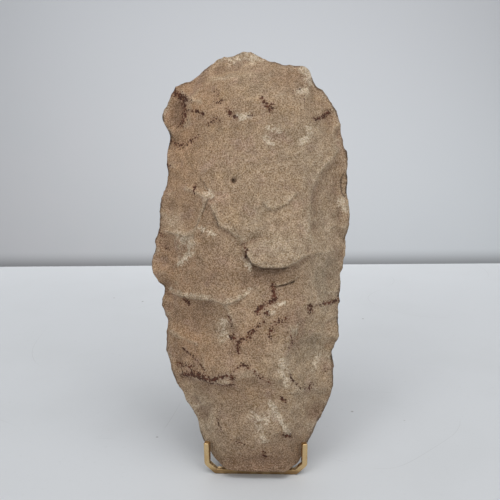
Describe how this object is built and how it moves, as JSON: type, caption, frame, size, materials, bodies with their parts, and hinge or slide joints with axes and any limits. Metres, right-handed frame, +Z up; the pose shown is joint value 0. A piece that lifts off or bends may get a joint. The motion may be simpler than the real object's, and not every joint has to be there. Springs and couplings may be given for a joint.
{
  "type": "stone hand axe on a brass display stand",
  "caption": "Long flaked stone hand axe with a rounded top and a narrow blunt butt, leaning back in a small stand of square brass wire.",
  "frame": {"origin": "on the ground, under the middle of the whole object's bounding box", "axes": "+Z up, the stone's shown face looks towards -Y, the stand's front bar lies along X"},
  "size_m": [0.0878, 0.0702, 0.1793],
  "materials": {
    "stone": "matt flaked sandstone-like stone, brown to grey, with dark red-brown stains",
    "brass": "polished square wire, lightly worn"
  },
  "bodies": {
    "root": {"hand_axe": "stone", "display_stand": "brass"}
  },
  "joints": []
}
